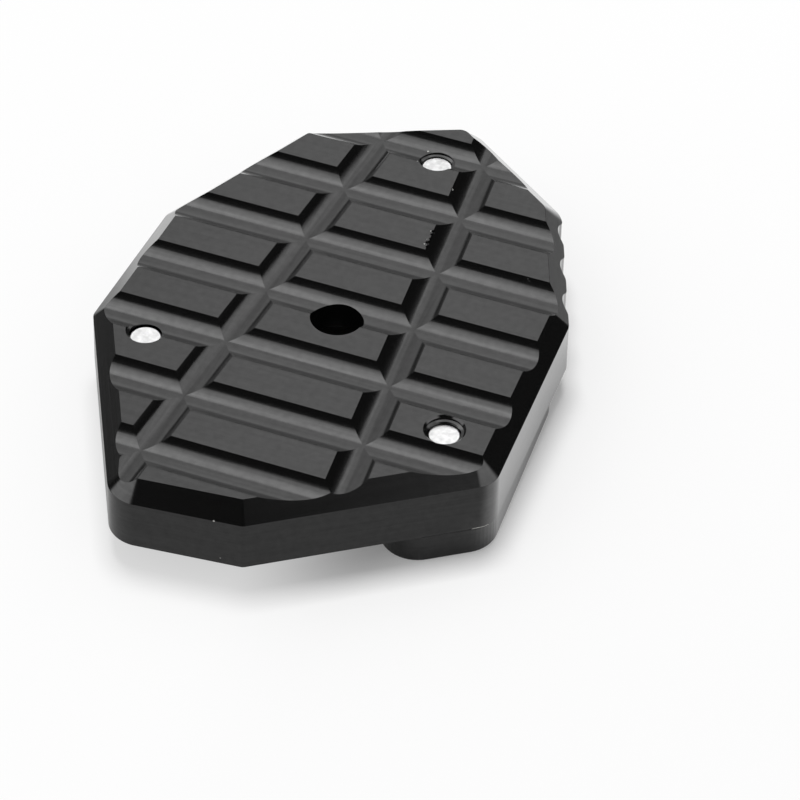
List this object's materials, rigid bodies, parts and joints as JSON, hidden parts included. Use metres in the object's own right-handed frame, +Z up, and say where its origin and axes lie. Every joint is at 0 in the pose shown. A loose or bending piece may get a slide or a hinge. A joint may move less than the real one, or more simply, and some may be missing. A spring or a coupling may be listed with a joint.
{
  "type": "kickstand foot enlarger",
  "caption": "Foot enlarger for a motorcycle side stand: chamfered many-sided pad with a grooved tread, and a U-shaped clamp plate held by countersunk screws.",
  "frame": {"origin": "middle of the pad's outline, on the plane that the clamp plate rests on", "axes": "+Z up out of the tread, +X across the pad along the row grooves, +Y along the pad to its pointed far end"},
  "size_m": [0.0624, 0.0886, 0.0143],
  "materials": {
    "pad_black": "glossy black anodised",
    "plate_black": "satin black anodised",
    "screw_steel": "bright zinc plated, turned ends"
  },
  "bodies": {
    "root": {"base_pad": "pad_black", "clamp_plate": "plate_black", "right_screw": "screw_steel", "left_screw": "screw_steel", "far_screw": "screw_steel"}
  },
  "joints": []
}
